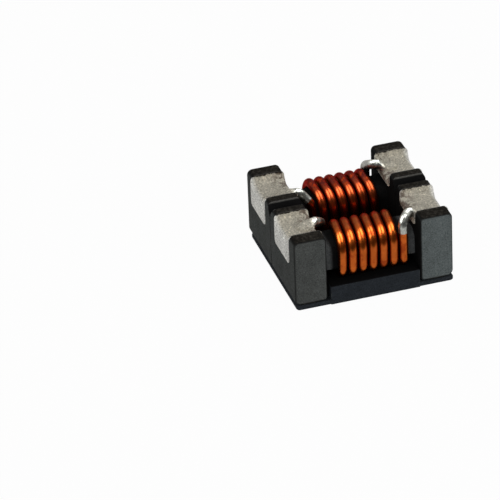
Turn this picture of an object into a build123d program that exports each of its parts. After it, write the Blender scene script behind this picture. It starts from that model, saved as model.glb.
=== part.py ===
"""Common mode choke: two wound ferrite drum cores side by side on one cover plate.

X runs along the winding axes, Y from the front core to the rear core, Z up.
The cover plate's flat face lies on Z = 0 and the four terminals face up.
"""

from build123d import *
import os

os.makedirs("parts", exist_ok=True)

# Overall size, mm
length = 12.0
width = 11.0
height = 5.7
skin = 0.05

# Drum cores, given for the rear core; the front core is its mirror image
core_gap = 0.12
core_inner = core_gap / 2
core_outer = width / 2
core_end = length / 2 - skin
core_base = 0.5
flange_length = 2.5
flange_inner = length / 2 - flange_length
top_corner_radius = 0.42
base_end_radius = 0.28
base_inner_radius = 0.35
side_edge_radius = 0.2
groove_half_width = 0.45
groove_depth = 0.9
groove_edge_radius = 0.12

# Winding leg
leg_mid = 3.0
leg_level = 3.17
leg_width = 2.81
leg_height = 1.94
leg_top_radius = 0.7
leg_bottom_radius = 0.15

# Terminals: each lines a rounded trough and wraps down both faces of its flange
seat_mid = 2.775
seat_width = 3.15
seat_depth = 0.65
seat_wall_radius = 0.55
seat_end_radius = 0.5
seat_inner_radius = 0.3
seat_side_height = 1.3
end_wrap_drop = 2.3
inner_wrap_drop = 1.15
wrap_split = 4.7
wrap_corner_radius = 0.3

# Windings
wire_radius = 0.33
wire_clearance = 0.02
pitch = 0.77
turns = 6
lead_radius = 0.5
front_turn = {"rise": -2.14, "top": -2.10, "cross": -1.70, "fall": -1.60}
rear_turn = {"rise": -1.79, "top": -1.62, "cross": -1.58, "fall": -1.45}

# Pressed lead ends and the solder on them
press_half_width = 0.52
press_half_height = 0.17
press_level = height - seat_depth + press_half_height
coat = 0.02
mound_length = 1.4
mound_width = 1.2
mound_rise = 0.36
mound_shift = 0.1
left_coat_share = 0.76
front_coat_share = 0.75
rear_coat_share = 0.87

# Cover plate
plate_inset = 0.08
plate_shift = 0.1
plate_length = length - 2 * plate_shift
plate_width = width - 2 * plate_inset
plate_thickness = 0.37
plate_corner_radius = 0.25
plate_edge = 0.08
block_top = 1.48
block_edge = 0.04
block_gap_left = 0.26
block_gap_right = 0.06

# Adhesive
pad_margin = 0.25
pad_corner_radius = 0.5
bond_inset = 0.12

coil_half_width = leg_width / 2 + wire_clearance + wire_radius
coil_half_height = leg_height / 2 + wire_clearance + wire_radius
coil_top_radius = leg_top_radius + wire_clearance + wire_radius
coil_bottom_radius = leg_bottom_radius + wire_clearance + wire_radius
coil_top = leg_level + coil_half_height
coil_bottom = leg_level - coil_half_height
coil_inner = leg_mid - coil_half_width
coil_outer = leg_mid + coil_half_width


def end_profile(growth):
    """Outline of a flange seen along Y, its two faces moved out by the growth."""
    with BuildSketch(Plane.XZ) as outline:
        with BuildLine():
            FilletPolyline(
                (flange_inner - growth, core_base),
                (core_end + growth, core_base),
                (core_end + growth, height),
                (flange_inner - growth, height),
                radius=[base_end_radius, top_corner_radius, top_corner_radius, base_inner_radius],
                close=True,
            )
        make_face()
    return outline.sketch


def seat_air(growth):
    """The air over a terminal seat: along the trough and round both of its ends."""
    half = seat_width / 2 + skin - growth
    floor = height - seat_depth - skin + growth
    wall_radius = seat_wall_radius + skin - growth
    end_radius = seat_end_radius - skin + growth
    inner_radius = seat_inner_radius - skin + growth
    end_axis = (core_end - end_radius + growth, seat_mid, floor - end_radius)
    inner_axis = (flange_inner + inner_radius - growth, seat_mid, floor - inner_radius)
    with BuildSketch(Plane.YZ.offset(end_axis[0])) as section:
        with BuildLine():
            FilletPolyline(
                (seat_mid - half, floor + seat_side_height),
                (seat_mid - half, floor),
                (seat_mid + half, floor),
                (seat_mid + half, floor + seat_side_height),
                radius=wall_radius,
            )
            Line((seat_mid + half, floor + seat_side_height), (seat_mid - half, floor + seat_side_height))
        make_face()
    with BuildPart() as air:
        add(section.sketch)
        extrude(amount=end_axis[0] - inner_axis[0], dir=(-1, 0, 0))
        add(section.sketch)
        revolve(axis=Axis(end_axis, (0, 1, 0)), revolution_arc=90)
        add(Pos(inner_axis[0] - end_axis[0], 0, 0) * section.sketch)
        revolve(axis=Axis(inner_axis, (0, -1, 0)), revolution_arc=90)
    return air.part


def terminal_band():
    """The strip of the flange that a terminal covers, with its lower corners rounded."""
    half = seat_width / 2 + skin
    with BuildPart() as band:
        for start, reach, drop in (
            (wrap_split, length - wrap_split, end_wrap_drop),
            (wrap_split, flange_inner - 1 - wrap_split, inner_wrap_drop),
        ):
            with BuildSketch(Plane.YZ.offset(start)):
                with BuildLine():
                    FilletPolyline(
                        (seat_mid - half, height + 1),
                        (seat_mid - half, height - drop),
                        (seat_mid + half, height - drop),
                        (seat_mid + half, height + 1),
                        radius=wrap_corner_radius,
                    )
                    Line((seat_mid + half, height + 1), (seat_mid - half, height + 1))
                make_face()
            extrude(amount=reach)
    return band.part


def rear_flange():
    """The right-hand flange of the rear core."""
    with BuildPart() as flange:
        add(Pos(0, core_inner, 0) * end_profile(0))
        extrude(amount=core_outer - core_inner, dir=(0, 1, 0))
        fillet(flange.faces().sort_by(Axis.Y)[-1].edges(), side_edge_radius)
        with BuildSketch(Plane.YZ.offset(flange_inner - 1)):
            with BuildLine():
                FilletPolyline(
                    (core_inner, height - groove_depth),
                    (core_inner + groove_half_width, height),
                    (core_inner + 2 * groove_half_width, height),
                    radius=groove_edge_radius,
                )
                Polyline(
                    (core_inner + 2 * groove_half_width, height),
                    (core_inner + 2 * groove_half_width, height + 1),
                    (core_inner - 1, height + 1),
                    (core_inner - 1, height - groove_depth),
                    (core_inner, height - groove_depth),
                )
            make_face()
        extrude(amount=flange_length + 2, mode=Mode.SUBTRACT)
        add(seat_air(0), mode=Mode.SUBTRACT)
    return flange.part


def rear_terminal(core):
    """The right-hand terminal of the rear core."""
    with BuildPart() as terminal:
        add(Pos(0, seat_mid - seat_width, 0) * end_profile(skin))
        extrude(amount=2 * seat_width, dir=(0, 1, 0))
        add(terminal_band(), mode=Mode.INTERSECT)
        add(seat_air(skin), mode=Mode.SUBTRACT)
        add(core, mode=Mode.SUBTRACT)
    return terminal.part


def coil_corners(turn):
    """The four corners of every turn, from the first inner bottom corner to the last rise."""
    points = [(turn["fall"] - pitch, coil_inner, coil_bottom)]
    for index in range(turns):
        shift = index * pitch
        points.append((turn["rise"] + shift, coil_outer, coil_bottom))
        points.append((turn["top"] + shift, coil_outer, coil_top))
        points.append((turn["cross"] + shift, coil_inner, coil_top))
        points.append((turn["fall"] + shift, coil_inner, coil_bottom))
    points.append((turn["rise"] + turns * pitch, coil_outer, coil_bottom))
    return points


def along(start, end, share):
    """The point at a share of the way from start to end."""
    return tuple(a + (b - a) * share for a, b in zip(start, end))


# Leads, written for a rear winding: tip, flat part, start of the pressed part, two bends
front_left = [
    (-4.2, 2.58, press_level),
    (-3.8, 2.50, press_level),
    (-3.42, 2.42, 5.24),
    (-3.16, 2.30, 5.10),
    (-2.50, coil_inner, 4.30),
]
rear_left = [
    (-4.2, 2.12, press_level),
    (-3.8, 1.98, press_level),
    (-3.40, 1.80, 5.26),
    (-3.12, 1.66, 5.20),
    (-2.48, coil_inner, 4.45),
]
front_right = [
    (4.2, 3.46, press_level),
    (3.8, 3.58, press_level),
    (3.38, 3.72, 5.30),
    (3.14, 3.80, 5.33),
    (2.46, coil_outer, 5.30),
]
rear_right = [
    (4.2, 3.18, press_level),
    (3.8, 3.26, press_level),
    (3.42, 3.34, 5.32),
    (3.02, 3.45, 5.35),
    (2.84, coil_outer, 4.58),
]
front_corners = coil_corners(front_turn)
rear_corners = coil_corners(rear_turn)


def round_bar(points, radii, radius):
    """A round bar along a line with rounded corners."""
    with BuildPart() as bar:
        with BuildLine() as route:
            FilletPolyline(*points, radius=radii)
        with BuildSketch(Plane(origin=route.line @ 0, z_dir=route.line % 0)):
            Circle(radius)
        sweep(path=route.line)
    return bar.part


def lead_plane(start, end):
    """The plane across a lead at its start, with a level first axis."""
    ahead = [b - a for a, b in zip(start, end)]
    return Plane(origin=start, x_dir=(ahead[1], -ahead[0], 0), z_dir=ahead)


def pressed_end(lead, growth):
    """The flattened end of a lead, from where it is still round to its tip."""
    tip, flat, start, bend = lead[:4]
    heel = tuple(2 * a - b for a, b in zip(start, bend))
    flat_plane = lead_plane(flat, tip)
    with BuildPart() as end:
        with BuildSketch(lead_plane(start, heel)):
            Circle(wire_radius + growth)
        with BuildSketch(flat_plane):
            Ellipse(press_half_width + growth, press_half_height + growth)
        loft()
        with BuildSketch(flat_plane):
            Ellipse(press_half_width + growth, press_half_height + growth)
        extrude(amount=(Vector(tip) - Vector(flat)).length)
    return end.part


def wound_wire(left, corners, right, taken):
    """A winding with both of its leads, its pressed ends shaped by the terminals."""
    points = [*left[2:], *corners, *right[:1:-1]]
    radii = [lead_radius] * 2 + [coil_bottom_radius]
    radii += [coil_bottom_radius, coil_top_radius, coil_top_radius, coil_bottom_radius] * turns
    radii += [coil_bottom_radius] + [lead_radius] * 2
    with BuildPart() as wire:
        add(round_bar(points, radii, wire_radius))
        add(pressed_end(left, 0))
        add(pressed_end(right, 0))
        for part in taken:
            add(part, mode=Mode.SUBTRACT)
    return wire.part


def solder_joint(lead, points, inward, taken):
    """A coated lead end and the low mound round its tip, less everything it sits on."""
    mound = scale(Sphere(1), by=(mound_length / 2, mound_width / 2, mound_rise))
    with BuildPart() as joint:
        add(round_bar(points, lead_radius, wire_radius + coat))
        add(pressed_end(lead, coat))
        add(Pos(lead[0][0] + inward * mound_shift, lead[0][1], height - seat_depth) * mound)
        for part in taken:
            add(part, mode=Mode.SUBTRACT)
    return joint.part


# Ferrite cores
flange = rear_flange()

with BuildPart() as core_rear:
    add(flange)
    mirror(about=Plane.YZ)
    with BuildSketch(Plane.YZ.offset(-flange_inner)):
        with BuildLine():
            FilletPolyline(
                (leg_mid - leg_width / 2, leg_level - leg_height / 2),
                (leg_mid + leg_width / 2, leg_level - leg_height / 2),
                (leg_mid + leg_width / 2, leg_level + leg_height / 2),
                (leg_mid - leg_width / 2, leg_level + leg_height / 2),
                radius=[leg_bottom_radius, leg_bottom_radius, leg_top_radius, leg_top_radius],
                close=True,
            )
        make_face()
    extrude(amount=2 * flange_inner)

core_rear.part.label = "core_rear"
export_step(core_rear.part, "parts/core_rear.step")

with BuildPart() as core_front:
    add(core_rear.part.mirror(Plane.XZ))

core_front.part.label = "core_front"
export_step(core_front.part, "parts/core_front.step")

# Plated terminals
terminal = rear_terminal(core_rear.part)

with BuildPart() as terminal_rear_right:
    add(terminal)

terminal_rear_right.part.label = "terminal_rear_right"
export_step(terminal_rear_right.part, "parts/terminal_rear_right.step")

with BuildPart() as terminal_rear_left:
    add(terminal_rear_right.part.mirror(Plane.YZ))

terminal_rear_left.part.label = "terminal_rear_left"
export_step(terminal_rear_left.part, "parts/terminal_rear_left.step")

with BuildPart() as terminal_front_right:
    add(terminal_rear_right.part.mirror(Plane.XZ))

terminal_front_right.part.label = "terminal_front_right"
export_step(terminal_front_right.part, "parts/terminal_front_right.step")

with BuildPart() as terminal_front_left:
    add(terminal_rear_left.part.mirror(Plane.XZ))

terminal_front_left.part.label = "terminal_front_left"
export_step(terminal_front_left.part, "parts/terminal_front_left.step")

# Windings, both bent up on the rear core's side and the front one mirrored
rear_terminals = [terminal_rear_left.part, terminal_rear_right.part]
rear_wire = wound_wire(rear_left, rear_corners, rear_right, rear_terminals)
front_wire = wound_wire(front_left, front_corners, front_right, rear_terminals)

with BuildPart() as winding_rear:
    add(rear_wire)

winding_rear.part.label = "winding_rear"
export_step(winding_rear.part, "parts/winding_rear.step")

with BuildPart() as winding_front:
    add(front_wire.mirror(Plane.XZ))

winding_front.part.label = "winding_front"
export_step(winding_front.part, "parts/winding_front.step")

# Solder joints, the front ones made on the rear core's side and mirrored
rear_left_coat = [rear_left[2], rear_left[3], along(rear_left[3], rear_left[4], left_coat_share)]
front_left_coat = [front_left[2], front_left[3], along(front_left[3], front_left[4], left_coat_share)]
rear_right_coat = [*rear_right[2:], along(rear_corners[-1], rear_right[4], rear_coat_share)]
front_right_coat = [*front_right[2:], along(front_corners[-1], front_right[4], front_coat_share)]

rear_side = [core_rear.part, *rear_terminals, rear_wire]
front_side = [core_rear.part, *rear_terminals, front_wire]
joint_rear_left = solder_joint(rear_left, rear_left_coat, 1, rear_side)
joint_rear_right = solder_joint(rear_right, rear_right_coat, -1, rear_side)
joint_front_left = solder_joint(front_left, front_left_coat, 1, front_side)
joint_front_right = solder_joint(front_right, front_right_coat, -1, front_side)

with BuildPart() as solder_rear_left:
    add(joint_rear_left)

solder_rear_left.part.label = "solder_rear_left"
export_step(solder_rear_left.part, "parts/solder_rear_left.step")

with BuildPart() as solder_rear_right:
    add(joint_rear_right)

solder_rear_right.part.label = "solder_rear_right"
export_step(solder_rear_right.part, "parts/solder_rear_right.step")

with BuildPart() as solder_front_left:
    add(joint_front_left.mirror(Plane.XZ))

solder_front_left.part.label = "solder_front_left"
export_step(solder_front_left.part, "parts/solder_front_left.step")

with BuildPart() as solder_front_right:
    add(joint_front_right.mirror(Plane.XZ))

solder_front_right.part.label = "solder_front_right"
export_step(solder_front_right.part, "parts/solder_front_right.step")

# Cover plate: a thin plate with a raised block between the flanges
block_left = -flange_inner + block_gap_left
block_right = flange_inner - block_gap_right

with BuildPart() as cover_plate:
    with BuildSketch():
        with Locations((plate_shift, 0)):
            RectangleRounded(plate_length, plate_width, plate_corner_radius)
    extrude(amount=plate_thickness)
    outer_edges = cover_plate.faces().sort_by(Axis.Z)[0].edges()
    outer_edges += cover_plate.faces().sort_by(Axis.Z)[-1].edges()
    chamfer(outer_edges, plate_edge)
    with BuildSketch():
        with Locations(((block_left + block_right) / 2, 0)):
            Rectangle(block_right - block_left, plate_width)
    extrude(amount=block_top)
    chamfer(cover_plate.faces().sort_by(Axis.Z)[-1].edges(), block_edge)

cover_plate.part.label = "cover_plate"
export_step(cover_plate.part, "parts/cover_plate.step")

# Adhesive under each flange foot
foot_length = flange_length - skin
for row, row_sign in (("front", -1), ("rear", 1)):
    for end, end_sign in (("left", -1), ("right", 1)):
        name = "plate_adhesive_" + row + "_" + end
        centre = (end_sign * (flange_inner + foot_length / 2), row_sign * (core_inner + core_outer) / 2)
        with BuildPart() as plate_adhesive:
            with BuildSketch(Plane.XY.offset(plate_thickness)):
                with Locations(centre):
                    RectangleRounded(
                        foot_length - 2 * pad_margin,
                        core_outer - core_inner - 2 * pad_margin,
                        pad_corner_radius,
                    )
            extrude(amount=core_base - plate_thickness)
        plate_adhesive.part.label = name
        export_step(plate_adhesive.part, "parts/" + name + ".step")

# Adhesive film in the joint between the cores
for end, end_sign in (("left", -1), ("right", 1)):
    name = "core_bond_" + end
    with BuildPart() as core_bond:
        with Locations((end_sign * (flange_inner + foot_length / 2), 0, core_base + bond_inset)):
            Box(
                foot_length - 2 * bond_inset,
                core_gap,
                height - groove_depth - core_base - 2 * bond_inset,
                align=(Align.CENTER, Align.CENTER, Align.MIN),
            )
    core_bond.part.label = name
    export_step(core_bond.part, "parts/" + name + ".step")
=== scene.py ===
"""Dresses the common mode choke and sets it on its studio stage.

Laid out as a Blender add-on: one operator for each group of pieces, one for the stage.
"""

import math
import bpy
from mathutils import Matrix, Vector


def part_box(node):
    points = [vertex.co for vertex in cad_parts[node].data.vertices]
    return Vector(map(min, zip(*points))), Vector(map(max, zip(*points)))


bl_info = {
    "name": "Common Mode Choke",
    "version": (1, 0, 0),
    "blender": (4, 5, 0),
    "location": "3D View > Sidebar > Choke",
    "description": "Finishes and stages a wound common mode choke",
    "category": "Object",
}

import bpy
from bpy.props import FloatProperty, FloatVectorProperty, PointerProperty
from mathutils import Matrix, Vector

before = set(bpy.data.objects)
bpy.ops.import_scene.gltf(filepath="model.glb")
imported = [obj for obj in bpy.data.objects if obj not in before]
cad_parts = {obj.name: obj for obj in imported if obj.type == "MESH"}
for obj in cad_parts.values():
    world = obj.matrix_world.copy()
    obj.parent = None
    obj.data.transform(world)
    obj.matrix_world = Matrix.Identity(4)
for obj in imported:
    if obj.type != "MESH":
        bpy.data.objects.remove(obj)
bpy.context.view_layer.update()

MM = 0.001
ROWS = ("front", "rear")
ENDS = ("left", "right")

# Where one finish gives way to the next, in millimetres: first the place where the mask is 0, then
# the place where it is 1. "Both sides" is a distance from the middle of the part.
# Painted light: the ferrite's sides are painted paler towards +X, as if more light fell on that
# end.
CORE_LIGHT_FADE = (-4.5, 4.5)  # X, from the darker ends of the cores to the paler ones
# Only the front core's leg end gets painted light; the rear one stays in painted shade.
FRONT_ROW = (0.0, -1.0)  # Y, from the joint between the cores into the front one
# Past the flanges' inner faces the ferrite is painted dark: painted shade on the legs and inner
# faces.
FLANGE_FACE = (3.62, 3.54)  # X on both sides, past the inner faces of the flanges
LEG_END_INNER = (2.7, 2.95)  # X on both sides, from the turns to the bare end of the leg
LEG_END_OUTER = (3.44, 3.40)  # X on both sides, from the flange to the bare end of the leg
# The groove along the joint is painted dark: painted shade.
GROOVE = (0.60, 0.48)  # Y on both sides, into the groove along the joint
# The groove's lip gets a painted highlight.
LIP_INNER = (0.44, 0.48)  # Y on both sides, from the groove to its lip
LIP_OUTER = (0.56, 0.52)  # Y on both sides, from the flat top to the groove's lip
LIP_HEIGHT = (5.52, 5.60)  # Z, up to the groove's lip
# Above it, the block's top is painted dark: painted shade under the turns.
BLOCK_TOP = (1.43, 1.47)  # Z, up to the top of the cover plate's block
# COIL_TOP and COIL_REAR place painted shade on the far side of the turns' tops.
COIL_TOP = (3.9, 4.3)  # Z, up to the top of the turns
COIL_REAR = (-1.0, 0.1)  # Y from the middle of a winding, over its top to the rear
# The end faces get painted light: a paler copy of the plating.
PLATED_END = (5.60, 5.92)  # X on both sides, out to the end faces
PLATED_TOP = (5.59, 5.63)  # Z, up to the ragged border of the plating
FLUX_REACH = (4.60, 3.85)  # X on both sides, from clean plating in to the joints
SOLDER_SEAT = (3.45, 3.75)  # X on both sides, from the lead out to its seat on the plating

# How the shared grain is set for each kind of surface.
FERRITE_GRAIN = {"size": 11500.0, "dark_share": 0.45, "light_share": 0.5, "patch": 0.13}
COVER_GRAIN = {"size": 15000.0, "dark_share": 0.6, "light_share": 0.6, "patch": 0.10}
ENAMEL_GRAIN = {"size": 1700.0, "dark_share": 0.75, "light_share": 0.25, "patch": 0.15}
PLATING_GRAIN = {"size": 7500.0, "dark_share": 0.55, "light_share": 0.8, "patch": 0.14}
EPOXY_GRAIN = {"size": 5000.0, "dark_share": 0.4, "light_share": 0.3, "patch": 0.2}

FERRITE_SPECULAR = 0.01
PLATING_SPECULAR = 0.12
METAL_SPECULAR = 0.5
ENAMEL_TINT = (0.70, 0.30, 0.20)

# The stage, in metres.
WHITE = (1, 1, 1, 1)
FLOOR_SIZE = 1.6
FLOOR_COLOUR = (0.82, 0.82, 0.82, 1)
FLOOR_WHITENESS = 0.97
ROOM_DEPTH = (-0.2, 0.55)
ROOM_DARKNESS = 0.06
FOCUS = (0, 0, 0.003)
SOFTBOX_SIZE = (0.25, 0.25)
SOFTBOXES = {"softbox_left": (-0.22, -0.36, 0.26), "softbox_right": (0.30, -0.32, 0.22)}
PANELS = {"panel_left": (-0.36, 0.44), "panel_right": (0.20, 0.34)}  # centre and width along X
PANEL_DEPTH = 0.5
PANEL_Y = 0.15
PANEL_HEIGHT = 0.40


def colour(name, description, value):
    """A colour that a user would change."""
    return FloatVectorProperty(
        name=name, description=description, subtype="COLOR", size=3, min=0, max=1, default=value
    )


class ChokeFinishes(bpy.types.PropertyGroup):
    """Colours of the choke's finishes."""

    ferrite: colour("Ferrite", "Pressed sides of the cores", (0.070, 0.074, 0.071))
    # Painted light: a paler copy of the ferrite, laid towards the +X end.
    ferrite_painted_light: colour("Light ferrite", "Paler fired end of the cores", (0.108, 0.124, 0.124))
    # Partly a real ground finish, partly painted shade: faces that look up are painted darker than
    # the sides.
    ferrite_top: colour("Ferrite top", "Ground faces of the flanges", (0.014, 0.012, 0.0095))
    ferrite_mottle: colour("Ferrite mottle", "Paler spots on the tops", (0.050, 0.045, 0.037))
    # Painted shade for the inner faces, the groove, the rounded corners and the edges; also the
    # colour of the ferrite's dark grains.
    ferrite_shade_and_pits: colour("Ferrite inside", "Stained inner faces", (0.007, 0.007, 0.007))
    # Painted light: a lit copy of the ferrite for the bare end of the front leg.
    leg_end_painted_lit: colour("Leg end", "Bare end of the winding leg", (0.080, 0.085, 0.086))
    # Real rubbed edges, and also the painted highlight along the groove's lip.
    ferrite_wear_and_highlight: colour("Worn ferrite", "Rubbed edges", (0.17, 0.165, 0.15))
    cover: colour("Cover plate", "Denser ferrite of the cover plate", (0.024, 0.028, 0.033))
    # Painted shade on the block's top; also the colour of the cover's dark grains.
    cover_shade_and_pits: colour("Cover plate top", "Stained top of its block", (0.005, 0.005, 0.005))
    copper: colour("Copper", "Copper seen through its enamel", (0.40, 0.082, 0.012))
    copper_deep: colour("Copper shade", "Darker, redder enamel", (0.24, 0.028, 0.004))
    # A darker, redder copy of the front copper: painted shade on the rear winding.
    copper_rear: colour("Rear copper", "Copper of the rear winding", (0.26, 0.044, 0.011))
    # Painted shade laid on the tops of the front winding's turns.
    copper_top_shade: colour("Copper top", "Heat-darkened enamel on top", (0.12, 0.034, 0.013))
    # Painted shade laid on the tops of the rear winding's turns.
    copper_rear_top_shade: colour("Rear copper top", "The rear winding's top", (0.062, 0.013, 0.011))
    plating: colour("Plating", "Matte plating in the troughs", (0.50, 0.465, 0.38))
    # Painted light: a paler copy of the plating for the end faces.
    plating_end_lit: colour("End plating", "Smoother plating on the end faces", (0.78, 0.77, 0.72))
    # Partly rubbed wear, partly a painted highlight on the corners.
    plating_wear_and_glint: colour("Rubbed plating", "Bright rubbed corners", (0.70, 0.69, 0.65))
    # Pits in the plating; also the painted shade on the tin's sides seen aslant.
    plating_pit_and_rim_shade: colour("Plating pits", "Pits in the fired plating", (0.10, 0.088, 0.066))
    flux: colour("Flux", "Flux residue round the joints", (0.062, 0.026, 0.015))
    tin: colour("Tin", "Solder and tinned lead ends", (0.37, 0.38, 0.35))
    adhesive: colour("Adhesive", "Cured epoxy", (0.016, 0.014, 0.009))
    adhesive_filler: colour("Adhesive filler", "Grains in the epoxy", (0.05, 0.045, 0.03))


class ChokeStage(bpy.types.PropertyGroup):
    """Camera and light."""

    lens: FloatProperty(
        name="Lens", description="Focal length", default=333.07, min=1, unit="CAMERA"
    )
    turn: FloatProperty(
        name="Turn",
        description="Camera's turn about Z",
        default=math.radians(-16.37),
        subtype="ANGLE",
    )
    height_angle: FloatProperty(
        name="Height angle",
        description="Camera's angle above the floor",
        default=math.radians(31.88),
        subtype="ANGLE",
    )
    roll: FloatProperty(
        name="Roll", description="Camera's roll", default=math.radians(-2.35), subtype="ANGLE"
    )
    place: FloatVectorProperty(
        name="Place",
        description="Camera's place",
        default=(-0.0868, -0.26987, 0.17731),
        subtype="TRANSLATION",
        unit="LENGTH",
    )
    softbox: FloatProperty(
        name="Softboxes", description="Power of each softbox", default=0.56, min=0, unit="POWER"
    )
    panel: FloatProperty(
        name="Panels", description="Brightness of the overhead panels", default=8.0, min=0
    )
    fill: FloatProperty(
        name="Fill", description="Strength of the light all round", default=0.35, min=0
    )


def deselect():
    """Deselects everything, so that an operator acts only on what is picked next."""
    if bpy.context.mode != "OBJECT":
        bpy.ops.object.mode_set(mode="OBJECT")
    bpy.ops.object.select_all(action="DESELECT")


def node_group(name, inputs, outputs):
    """An empty shader node group with named sockets and its two end nodes."""
    group = bpy.data.node_groups.new(name, "ShaderNodeTree")
    for label, kind, value in inputs:
        socket = group.interface.new_socket(name=label, in_out="INPUT", socket_type=kind)
        socket.default_value = value
    for label, kind in outputs:
        group.interface.new_socket(name=label, in_out="OUTPUT", socket_type=kind)
    return group, group.nodes.new("NodeGroupInput"), group.nodes.new("NodeGroupOutput")


def add_node(tree, kind, values=None, **settings):
    """A node with its settings and the values of its sockets."""
    node = tree.nodes.new(kind)
    for key, value in settings.items():
        setattr(node, key, value)
    for key, value in (values or {}).items():
        node.inputs[key].default_value = value
    return node


def feed(tree, socket, value):
    """Links a socket to another one, or gives it a value. A colour comes without its alpha."""
    if isinstance(value, bpy.types.NodeSocket):
        tree.links.new(value, socket)
    elif socket.type == "RGBA":
        socket.default_value = (*value, 1)
    else:
        socket.default_value = value


def result(tree, operation, *values):
    """What a math operation makes of masks and numbers."""
    node = add_node(tree, "ShaderNodeMath", operation=operation)
    for socket, value in zip(node.inputs, values):
        feed(tree, socket, value)
    return node.outputs["Value"]


def product(tree, first, *others):
    """The product of masks and numbers."""
    for other in others:
        first = result(tree, "MULTIPLY", first, other)
    return first


def ramp(tree, value, low=0.0, high=1.0, start=0.0, end=1.0):
    """Takes a value from start to end while it goes from low to high, and no further."""
    node = add_node(tree, "ShaderNodeMapRange", {"To Min": start, "To Max": end})
    feed(tree, node.inputs["From Min"], low)
    feed(tree, node.inputs["From Max"], high)
    tree.links.new(value, node.inputs["Value"])
    return node.outputs["Result"]


def noise(tree, scale, detail, coarseness):
    """A noise that stays fixed to the piece."""
    node = add_node(tree, "ShaderNodeTexNoise", {"Detail": detail, "Roughness": coarseness})
    feed(tree, node.inputs["Scale"], scale)
    place = add_node(tree, "ShaderNodeTexCoord")
    tree.links.new(place.outputs["Object"], node.inputs["Vector"])
    return node.outputs["Fac"]


def blended(tree, mask, first, second):
    """One colour that turns into another where a mask is 1."""
    node = add_node(tree, "ShaderNodeMix", data_type="RGBA")
    tree.links.new(mask, node.inputs["Factor"])
    feed(tree, node.inputs["A"], first)
    feed(tree, node.inputs["B"], second)
    return node.outputs["Result"]


def layered(tree, base, *layers):
    """A colour with others laid over it in turn, each one where its own mask is 1."""
    for mask, over in layers:
        base = blended(tree, mask, base, over)
    return base


def between(tree, axis, low, high, size=False, ragged=0.0):
    """A mask that rises from 0 to 1 between two places along an axis, in millimetres.

    With size, the places are on both sides of the middle. With ragged, a noise of about that
    width moves the border to and fro.
    """
    place = add_node(tree, "ShaderNodeTexCoord")
    split = add_node(tree, "ShaderNodeSeparateXYZ")
    tree.links.new(place.outputs["Object"], split.inputs["Vector"])
    value = split.outputs[axis]
    if size:
        value = result(tree, "ABSOLUTE", value)
    if ragged:
        border = noise(tree, 2400.0, 4.0, 0.6)
        value = result(tree, "ADD", value, ramp(tree, border, start=-ragged * MM, end=ragged * MM))
    return ramp(tree, value, low * MM, high * MM)


def rim(tree, low):
    """A mask for the sides of a round wire seen aslant, where a darker colour lays painted shade.
    """
    weight = add_node(tree, "ShaderNodeLayerWeight", {"Blend": 0.5})
    return product(tree, ramp(tree, weight.outputs["Facing"], low, 0.85), 0.85)


def grain_group():
    """Fine dark and light grains over a surface: a colour, a mask and a height."""
    group, start, end = node_group(
        "Fine Grain",
        [
            ("Base", "NodeSocketColor", (0.5, 0.5, 0.5, 1)),
            ("Dark", "NodeSocketColor", (0.1, 0.1, 0.1, 1)),
            ("Size", "NodeSocketFloat", 9000.0),
            ("Dark Share", "NodeSocketFloat", 0.3),
            ("Light Share", "NodeSocketFloat", 0.1),
            ("Patch", "NodeSocketFloat", 0.15),
        ],
        [("Color", "NodeSocketColor"), ("Mask", "NodeSocketFloat"), ("Height", "NodeSocketFloat")],
    )
    fine = noise(group, start.outputs["Size"], 3.0, 0.7)
    dark = ramp(group, fine, 0.47, 0.36)
    share = product(group, dark, start.outputs["Dark Share"])
    mixed = blended(group, share, start.outputs["Base"], start.outputs["Dark"])
    gleam = product(group, ramp(group, fine, 0.55, 0.68), start.outputs["Light Share"])
    broad = ramp(group, noise(group, 900.0, 3.0, 0.6), 0.3, 0.7, -1.0, 1.0)
    patches = result(group, "MULTIPLY_ADD", broad, start.outputs["Patch"], 1.0)
    shade = add_node(group, "ShaderNodeVectorMath", operation="SCALE")
    group.links.new(mixed, shade.inputs["Vector"])
    group.links.new(result(group, "ADD", gleam, patches), shade.inputs["Scale"])
    group.links.new(shade.outputs["Vector"], end.inputs["Color"])
    group.links.new(dark, end.inputs["Mask"])
    group.links.new(fine, end.inputs["Height"])
    return group


def facing_group():
    """How far a surface faces up, from 0 on the sides to 1 on top."""
    group, start, end = node_group(
        "Facing Up",
        [("Low", "NodeSocketFloat", 0.6), ("High", "NodeSocketFloat", 0.95)],
        [("Mask", "NodeSocketFloat")],
    )
    place = add_node(group, "ShaderNodeTexCoord")
    split = add_node(group, "ShaderNodeSeparateXYZ")
    group.links.new(place.outputs["Normal"], split.inputs["Vector"])
    mask = ramp(group, split.outputs["Z"], start.outputs["Low"], start.outputs["High"])
    group.links.new(mask, end.inputs["Mask"])
    return group


def corner_group():
    """Where a surface is rounded over between two flat faces: 1 halfway round, 0 on the flats."""
    group, start, end = node_group(
        "Rounded Corner", [("Amount", "NodeSocketFloat", 0.5)], [("Mask", "NodeSocketFloat")]
    )
    place = add_node(group, "ShaderNodeTexCoord")
    size = add_node(group, "ShaderNodeVectorMath", operation="ABSOLUTE")
    group.links.new(place.outputs["Normal"], size.inputs["Vector"])
    split = add_node(group, "ShaderNodeSeparateXYZ")
    group.links.new(size.outputs["Vector"], split.inputs["Vector"])
    across = result(group, "MAXIMUM", split.outputs["X"], split.outputs["Y"])
    most = result(group, "MAXIMUM", across, split.outputs["Z"])
    mask = product(group, ramp(group, most, 0.97, 0.78), start.outputs["Amount"])
    group.links.new(mask, end.inputs["Mask"])
    return group


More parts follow.
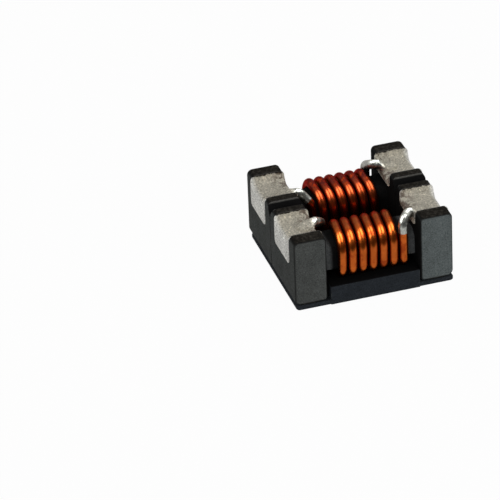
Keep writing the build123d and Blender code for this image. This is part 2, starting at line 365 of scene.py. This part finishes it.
def worn_group():
    """Sharp outer edges: whole, and as a mask of rubbed stretches broken up by a noise."""
    group, start, end = node_group(
        "Worn Edge",
        [("Amount", "NodeSocketFloat", 0.5)],
        [("Mask", "NodeSocketFloat"), ("Edge", "NodeSocketFloat")],
    )
    shape = add_node(group, "ShaderNodeNewGeometry")
    soft = add_node(group, "ShaderNodeBevel", {"Radius": 0.16 * MM}, samples=6)
    dot = add_node(group, "ShaderNodeVectorMath", operation="DOT_PRODUCT")
    group.links.new(soft.outputs["Normal"], dot.inputs[0])
    group.links.new(shape.outputs["Normal"], dot.inputs[1])
    edge = ramp(group, dot.outputs["Value"], 0.985, 0.80)
    broken = ramp(group, noise(group, 2600.0, 4.0, 0.6), 0.42, 0.60)
    mask = product(group, edge, broken, start.outputs["Amount"])
    group.links.new(mask, end.inputs["Mask"])
    group.links.new(edge, end.inputs["Edge"])
    return group


def new_material(name):
    """A material with its Principled shader, ready for links."""
    material = bpy.data.materials.new(name)
    material.use_nodes = True
    tree = material.node_tree
    return material, tree, tree.nodes["Principled BSDF"]


def placed(tree, group, **values):
    """A shared group in a material, with this finish's own values."""
    node = add_node(tree, "ShaderNodeGroup", node_tree=group)
    for key, value in values.items():
        feed(tree, node.inputs[key.replace("_", " ").title()], value)
    return node


def grained(tree, shader, group, base, dark, grain):
    """Lays the shared grain over a colour and gives the shader the result."""
    node = placed(tree, group, base=base, dark=dark, **grain)
    tree.links.new(node.outputs["Color"], shader.inputs["Base Color"])
    return node


def vary(tree, shader, name, mask, low, high):
    """Lets one of the shader's values follow a mask."""
    tree.links.new(ramp(tree, mask, start=low, end=high), shader.inputs[name])


def bump(tree, shader, height, depth, strength):
    """Raises the surface by a height that reads in millimetres."""
    node = add_node(tree, "ShaderNodeBump", {"Strength": strength, "Distance": depth * MM})
    tree.links.new(height, node.inputs["Height"])
    tree.links.new(node.outputs["Normal"], shader.inputs["Normal"])


def core_material(looks, groups):
    """Sintered ferrite: dull grey sides with painted light paler towards +X, dark ground tops that
    also carry painted shade, painted shade on the inner faces, the groove, the rounded corners and
    the edges, painted light on the front leg's bare end, rubbed edges, and a painted highlight
    along the groove's lip.
    """
    material, tree, shader = new_material("sintered_ferrite")
    spots = ramp(tree, noise(tree, 5200.0, 4.0, 0.65), 0.46, 0.66)
    top = blended(tree, spots, looks.ferrite_top, looks.ferrite_mottle)
    # Painted light: the sides turn paler towards +X.
    side = blended(tree, between(tree, "X", *CORE_LIGHT_FADE), looks.ferrite, looks.ferrite_painted_light)
    upward = placed(tree, groups["facing"], low=0.45, high=0.8)
    corner = placed(tree, groups["corner"], amount=0.7)
    worn = placed(tree, groups["worn"], amount=0.45)
    slope = placed(tree, groups["facing"], low=0.3, high=0.4)
    groove = product(tree, slope.outputs["Mask"], between(tree, "Y", *GROOVE, size=True))
    # Painted highlight along the groove's lip.
    lip = product(
        tree,
        between(tree, "Y", *LIP_INNER, size=True),
        between(tree, "Y", *LIP_OUTER, size=True),
        between(tree, "Z", *LIP_HEIGHT),
        0.6,
    )
    outside = layered(
        tree,
        side,
        # Faces that look up: ground finish and painted shade.
        (upward.outputs["Mask"], top),
        # Painted shade: the rounded corners, and a dark line along every edge.
        (corner.outputs["Mask"], looks.ferrite_shade_and_pits),
        (product(tree, worn.outputs["Edge"], 0.55), looks.ferrite_shade_and_pits),
        (worn.outputs["Mask"], looks.ferrite_wear_and_highlight),
        # Painted shade in the groove.
        (groove, looks.ferrite_shade_and_pits),
        (lip, looks.ferrite_wear_and_highlight),
    )
    # Painted light on the bare end of the front leg, inside the painted shade.
    bare = product(
        tree,
        between(tree, "X", *LEG_END_INNER, size=True),
        between(tree, "X", *LEG_END_OUTER, size=True),
        between(tree, "Y", *FRONT_ROW),
    )
    inside = blended(tree, bare, looks.ferrite_shade_and_pits, looks.leg_end_painted_lit)
    # Painted shade inside the flanges.
    body = blended(tree, between(tree, "X", *FLANGE_FACE, size=True), outside, inside)
    grain = grained(tree, shader, groups["grain"], body, looks.ferrite_shade_and_pits, FERRITE_GRAIN)
    vary(tree, shader, "Roughness", grain.outputs["Mask"], 0.75, 0.9)
    bump(tree, shader, grain.outputs["Height"], 0.010, 0.5)
    shader.inputs["Specular IOR Level"].default_value = FERRITE_SPECULAR
    return material


def cover_material(looks, groups):
    """The cover plate's denser ferrite, with painted shade on top of its block."""
    material, tree, shader = new_material("cover_ferrite")
    worn = placed(tree, groups["worn"], amount=0.5)
    body = layered(
        tree,
        looks.cover,
        (worn.outputs["Mask"], looks.ferrite),
        # Painted shade on the block's top.
        (between(tree, "Z", *BLOCK_TOP), looks.cover_shade_and_pits),
    )
    grain = grained(tree, shader, groups["grain"], body, looks.cover_shade_and_pits, COVER_GRAIN)
    vary(tree, shader, "Roughness", grain.outputs["Mask"], 0.7, 0.85)
    bump(tree, shader, grain.outputs["Height"], 0.010, 0.5)
    shader.inputs["Specular IOR Level"].default_value = FERRITE_SPECULAR
    return material


def copper_material(name, base, tops, middle, looks, groups):
    """Enamelled copper wire: metal under a clear amber enamel, with painted shade along the top
    and on the sides seen aslant.
    """
    material, tree, shader = new_material(name)
    upward = placed(tree, groups["facing"], low=0.0, high=0.7)
    # Painted shade: the far side of each turn's top.
    rear = between(tree, "Y", *(middle + offset for offset in COIL_REAR))
    high = product(tree, upward.outputs["Mask"], rear, between(tree, "Z", *COIL_TOP))
    # Painted shade also on the wire's sides seen aslant.
    body = layered(tree, base, (high, tops), (rim(tree, 0.25), tops))
    grain = grained(tree, shader, groups["grain"], body, looks.copper_deep, ENAMEL_GRAIN)
    vary(tree, shader, "Roughness", grain.outputs["Mask"], 0.30, 0.36)
    shader.inputs["Metallic"].default_value = 1.0
    shader.inputs["Specular Tint"].default_value = (*ENAMEL_TINT, 1)
    shader.inputs["Coat Weight"].default_value = 0.05
    shader.inputs["Coat Roughness"].default_value = 0.10
    shader.inputs["Coat IOR"].default_value = 1.5
    return material


def plating_material(looks, groups):
    """Matte fired plating, with painted light on the end faces, rubbed corners that also stand for
    painted highlights, and flux near the joints.
    """
    material, tree, shader = new_material("matte_plating")
    drops = ramp(tree, noise(tree, 2100.0, 4.0, 0.62), 0.46, 0.52)
    residue = product(tree, drops, between(tree, "X", *FLUX_REACH, size=True), 0.75)
    worn = placed(tree, groups["worn"], amount=0.8)
    body = layered(
        tree,
        looks.plating,
        # Painted light on the end faces.
        (between(tree, "X", *PLATED_END, size=True), looks.plating_end_lit),
        (residue, looks.flux),
        # Rubbed corners, partly painted highlight.
        (worn.outputs["Mask"], looks.plating_wear_and_glint),
        (between(tree, "Z", *PLATED_TOP, ragged=0.22), looks.ferrite_top),
    )
    grain = grained(tree, shader, groups["grain"], body, looks.plating_pit_and_rim_shade, PLATING_GRAIN)
    vary(tree, shader, "Roughness", grain.outputs["Mask"], 0.6, 0.75)
    bump(tree, shader, grain.outputs["Height"], 0.03, 0.8)
    shader.inputs["Specular IOR Level"].default_value = PLATING_SPECULAR
    return material


def tin_material(looks, groups):
    """Tin solder with low lumps: bright metal on the leads with painted shade on their sides seen
    aslant, as dull as the plating on its seat.
    """
    material, tree, shader = new_material("tin_solder")
    seat = between(tree, "X", *SOLDER_SEAT, size=True)
    # Painted shade on the tin's sides seen aslant.
    body = layered(tree, looks.tin, (rim(tree, 0.30), looks.plating_pit_and_rim_shade), (seat, looks.plating))
    grained(tree, shader, groups["grain"], body, looks.plating_pit_and_rim_shade, PLATING_GRAIN)
    for name, on_lead, on_seat in (
        ("Metallic", 1.0, 0.0),
        ("Roughness", 0.36, 0.68),
        ("Specular IOR Level", METAL_SPECULAR, PLATING_SPECULAR),
    ):
        vary(tree, shader, name, seat, on_lead, on_seat)
    bump(tree, shader, noise(tree, 1500.0, 1.0, 0.4), 0.26, 0.7)
    return material


def adhesive_material(looks, groups):
    """Cured dark epoxy."""
    material, tree, shader = new_material("cured_epoxy")
    grain = grained(
        tree, shader, groups["grain"], looks.adhesive, looks.adhesive_filler, EPOXY_GRAIN
    )
    vary(tree, shader, "Roughness", grain.outputs["Mask"], 0.35, 0.5)
    return material


def shared_groups():
    """The node groups that several finishes use, built once."""
    makers = {
        "Fine Grain": ("grain", grain_group),
        "Facing Up": ("facing", facing_group),
        "Rounded Corner": ("corner", corner_group),
        "Worn Edge": ("worn", worn_group),
    }
    groups = {}
    for name, (key, maker) in makers.items():
        groups[key] = bpy.data.node_groups.get(name) or maker()
    return groups


def dress(names, material):
    """Gives CAD nodes a finish."""
    for name in names:
        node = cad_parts[name]
        for slot in node.material_slots:
            slot.material = material


def corners(prefix):
    """The four names of a piece that is at every end of both rows."""
    return [f"{prefix}_{row}_{end}" for row in ROWS for end in ENDS]


class CHOKE_OT_ferrite(bpy.types.Operator):
    """Finishes the drum cores and the cover plate"""

    bl_idname = "choke.ferrite"
    bl_label = "Ferrite"

    def execute(self, context):
        looks = context.scene.choke_finishes
        dress(("core_front", "core_rear"), core_material(looks, shared_groups()))
        dress(("cover_plate",), cover_material(looks, shared_groups()))
        return {"FINISHED"}


class CHOKE_OT_windings(bpy.types.Operator):
    """Finishes the two windings"""

    bl_idname = "choke.windings"
    bl_label = "Windings"

    def execute(self, context):
        looks = context.scene.choke_finishes
        groups = shared_groups()
        colours = {
            "winding_front": (looks.copper, looks.copper_top_shade),
            "winding_rear": (looks.copper_rear, looks.copper_rear_top_shade),
        }
        for name, (base, tops) in colours.items():
            low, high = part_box(name)
            middle = (low[1] + high[1]) / 2 / MM
            material = copper_material(f"enamelled_{name}", base, tops, middle, looks, groups)
            dress((name,), material)
        return {"FINISHED"}


class CHOKE_OT_terminals(bpy.types.Operator):
    """Finishes the four plated terminals"""

    bl_idname = "choke.terminals"
    bl_label = "Terminals"

    def execute(self, context):
        material = plating_material(context.scene.choke_finishes, shared_groups())
        dress(corners("terminal"), material)
        return {"FINISHED"}


class CHOKE_OT_solder(bpy.types.Operator):
    """Finishes the solder joints"""

    bl_idname = "choke.solder"
    bl_label = "Solder joints"

    def execute(self, context):
        material = tin_material(context.scene.choke_finishes, shared_groups())
        dress(corners("solder"), material)
        return {"FINISHED"}


class CHOKE_OT_adhesive(bpy.types.Operator):
    """Finishes the adhesive under the cores and between them"""

    bl_idname = "choke.adhesive"
    bl_label = "Adhesive"

    def execute(self, context):
        material = adhesive_material(context.scene.choke_finishes, shared_groups())
        dress(corners("plate_adhesive") + ["core_bond_left", "core_bond_right"], material)
        return {"FINISHED"}


def background_share(tree):
    """1 for the rays that show the background: camera, glossy and transmission rays."""
    path = add_node(tree, "ShaderNodeLightPath")
    seen = result(tree, "MAXIMUM", path.outputs["Is Camera Ray"], path.outputs["Is Glossy Ray"])
    return result(tree, "MAXIMUM", seen, path.outputs["Is Transmission Ray"])


def add_floor():
    """A pale floor that keeps the part's shadow and looks as white as the background."""
    deselect()
    bpy.ops.mesh.primitive_plane_add(size=FLOOR_SIZE, location=(0, 0, 0))
    floor = bpy.context.active_object
    floor.name = "floor"
    material, tree, shader = new_material("white_floor")
    shader.inputs["Base Color"].default_value = FLOOR_COLOUR
    shader.inputs["Roughness"].default_value = 0.9
    shader.inputs["Specular IOR Level"].default_value = 0.1
    glow = add_node(tree, "ShaderNodeEmission", {"Color": WHITE, "Strength": 1.0})
    mix = add_node(tree, "ShaderNodeMixShader")
    tree.links.new(product(tree, background_share(tree), FLOOR_WHITENESS), mix.inputs["Fac"])
    tree.links.new(shader.outputs["BSDF"], mix.inputs[1])
    tree.links.new(glow.outputs["Emission"], mix.inputs[2])
    tree.links.new(mix.outputs["Shader"], tree.nodes["Material Output"].inputs["Surface"])
    floor.data.materials.append(material)


def add_room(scene, fill):
    """An even fill for dull faces, and for shiny ones a room dark in front and white behind."""
    world = bpy.data.worlds.new("studio")
    world.use_nodes = True
    scene.world = world
    tree = world.node_tree
    back = tree.nodes["Background"]
    back.inputs["Color"].default_value = WHITE
    place = add_node(tree, "ShaderNodeTexCoord")
    split = add_node(tree, "ShaderNodeSeparateXYZ")
    tree.links.new(place.outputs["Generated"], split.inputs["Vector"])
    room = ramp(tree, split.outputs["Y"], *ROOM_DEPTH, start=ROOM_DARKNESS)
    path = add_node(tree, "ShaderNodeLightPath")
    seen = result(tree, "MAXIMUM", path.outputs["Is Camera Ray"], room)
    level = add_node(tree, "ShaderNodeMix", {"A": fill}, data_type="FLOAT")
    tree.links.new(background_share(tree), level.inputs["Factor"])
    tree.links.new(seen, level.inputs["B"])
    tree.links.new(level.outputs["Result"], back.inputs["Strength"])


def area_light(name, place, size, power, target):
    """A rectangular area light that faces a point."""
    light = bpy.data.lights.new(name, "AREA")
    light.energy = power
    light.shape = "RECTANGLE"
    light.size, light.size_y = size
    lamp = bpy.data.objects.new(name, light)
    bpy.context.scene.collection.objects.link(lamp)
    lamp.location = place
    lamp.rotation_euler = (Vector(target) - Vector(place)).to_track_quat("-Z", "Y").to_euler()
    return lamp


def add_lights(stage):
    """Two softboxes that light the faces, and two panels overhead that only glint."""
    for name, place in SOFTBOXES.items():
        lamp = area_light(name, place, SOFTBOX_SIZE, stage.softbox, FOCUS)
        lamp.visible_glossy = False
    for name, (centre, width) in PANELS.items():
        place = (centre, PANEL_Y, PANEL_HEIGHT)
        power = stage.panel * math.pi * width * PANEL_DEPTH
        lamp = area_light(name, place, (width, PANEL_DEPTH), power, (centre, PANEL_Y, 0))
        lamp.visible_diffuse = False


def add_camera(scene, stage):
    """The camera, turned about Z, then raised, then rolled."""
    data = bpy.data.cameras.new("camera")
    data.lens = stage.lens
    data.sensor_width = 36.0
    data.clip_start = 0.01
    data.clip_end = 10.0
    camera = bpy.data.objects.new("camera", data)
    scene.collection.objects.link(camera)
    turn = Matrix.Rotation(stage.turn, 4, "Z")
    tilt = Matrix.Rotation(math.pi / 2 - stage.height_angle, 4, "X")
    roll = Matrix.Rotation(stage.roll, 4, "Z")
    camera.matrix_world = Matrix.Translation(Vector(stage.place)) @ turn @ tilt @ roll
    scene.camera = camera


class CHOKE_OT_stage(bpy.types.Operator):
    """Sets the floor, the light and the camera"""

    bl_idname = "choke.stage"
    bl_label = "Stage"

    def execute(self, context):
        scene = context.scene
        stage = scene.choke_stage
        add_floor()
        add_room(scene, stage.fill)
        add_lights(stage)
        add_camera(scene, stage)
        scene.view_settings.view_transform = "Standard"
        return {"FINISHED"}


class CHOKE_PT_panel(bpy.types.Panel):
    """Lists the choke's pieces and finishes"""

    bl_label = "Common mode choke"
    bl_idname = "CHOKE_PT_panel"
    bl_space_type = "VIEW_3D"
    bl_region_type = "UI"
    bl_category = "Choke"

    def draw(self, context):
        for step in STEPS:
            self.layout.operator(step.bl_idname)
        for group in (context.scene.choke_finishes, context.scene.choke_stage):
            for name in group.__annotations__:
                self.layout.prop(group, name)


STEPS = (
    CHOKE_OT_ferrite,
    CHOKE_OT_windings,
    CHOKE_OT_terminals,
    CHOKE_OT_solder,
    CHOKE_OT_adhesive,
    CHOKE_OT_stage,
)
CLASSES = (ChokeFinishes, ChokeStage, *STEPS, CHOKE_PT_panel)


def register():
    """Registers the classes and the choke's settings."""
    for entry in CLASSES:
        bpy.utils.register_class(entry)
    bpy.types.Scene.choke_finishes = PointerProperty(type=ChokeFinishes)
    bpy.types.Scene.choke_stage = PointerProperty(type=ChokeStage)


def unregister():
    """Removes them again."""
    del bpy.types.Scene.choke_stage
    del bpy.types.Scene.choke_finishes
    for entry in reversed(CLASSES):
        bpy.utils.unregister_class(entry)


def main():
    """Registers the classes, finishes every piece and sets the stage, in order."""
    register()
    bpy.ops.choke.ferrite()
    bpy.ops.choke.windings()
    bpy.ops.choke.terminals()
    bpy.ops.choke.solder()
    bpy.ops.choke.adhesive()
    bpy.ops.choke.stage()
    bpy.context.view_layer.update()


if __name__ == "__main__":
    main()
